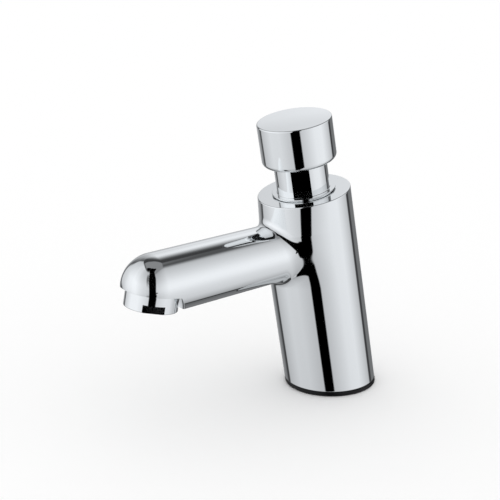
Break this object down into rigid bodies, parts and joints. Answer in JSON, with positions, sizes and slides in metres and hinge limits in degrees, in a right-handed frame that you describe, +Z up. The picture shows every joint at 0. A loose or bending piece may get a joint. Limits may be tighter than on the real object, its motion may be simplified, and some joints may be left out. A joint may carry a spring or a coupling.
{
  "type": "push timed tap",
  "caption": "Deck-mounted push tap with a leaning round chromed body, a straight round-nosed spout and a sprung push cap that closes by itself.",
  "frame": {"origin": "middle of the base on the deck, where the body's leaning axis meets the underside of the gasket", "axes": "+Z up from the deck, -Y along the spout towards the user, +X to the right as seen from the user's side"},
  "size_m": [0.0456, 0.1406, 0.1419],
  "materials": {
    "chrome_plate": "polished chromium plate on brass",
    "black_rubber": "moulded black rubber",
    "turned_brass": "turned, bare",
    "stainless": "bright stainless steel",
    "acetal": "moulded white acetal",
    "black_acetal": "moulded black acetal",
    "regulator_plastic": "moulded plastic"
  },
  "bodies": {
    "tap": {"tap_body": "chrome_plate", "base_gasket": "black_rubber", "base_insert": "turned_brass", "base_insert_oring": "black_rubber", "inlet_strainer": "stainless", "seat_seal": "black_rubber", "valve_seat": "turned_brass", "cartridge_barrel": "acetal", "barrel_upper_oring": "black_rubber", "barrel_lower_oring": "black_rubber", "web_oring": "black_rubber", "seal_retainer": "acetal", "spindle_seal": "black_rubber", "guide_bush": "acetal", "bonnet": "chrome_plate", "bonnet_oring": "black_rubber", "return_spring": "stainless", "aerator_housing": "chrome_plate", "aerator_screen": "stainless", "aerator_insert": "acetal", "flow_regulator": "regulator_plastic", "aerator_seal": "black_rubber"},
    "plunger": {"push_cap": "chrome_plate", "cap_guide_ring": "black_acetal", "spindle": "stainless", "spindle_locknut": "stainless", "piston": "acetal", "piston_cup_seal": "black_rubber", "piston_clips": "stainless", "valve_carrier": "turned_brass", "valve_washer": "black_rubber", "valve_nut": "stainless"}
  },
  "joints": [
    {"name": "push", "type": "slide", "parent": "tap", "child": "plunger", "axis": [0, 0.1736, -0.9848], "range_m": [0, 0.009], "stiffness_N_per_m": 1200, "springref_m": -0.012, "deforming": ["return_spring"]}
  ]
}
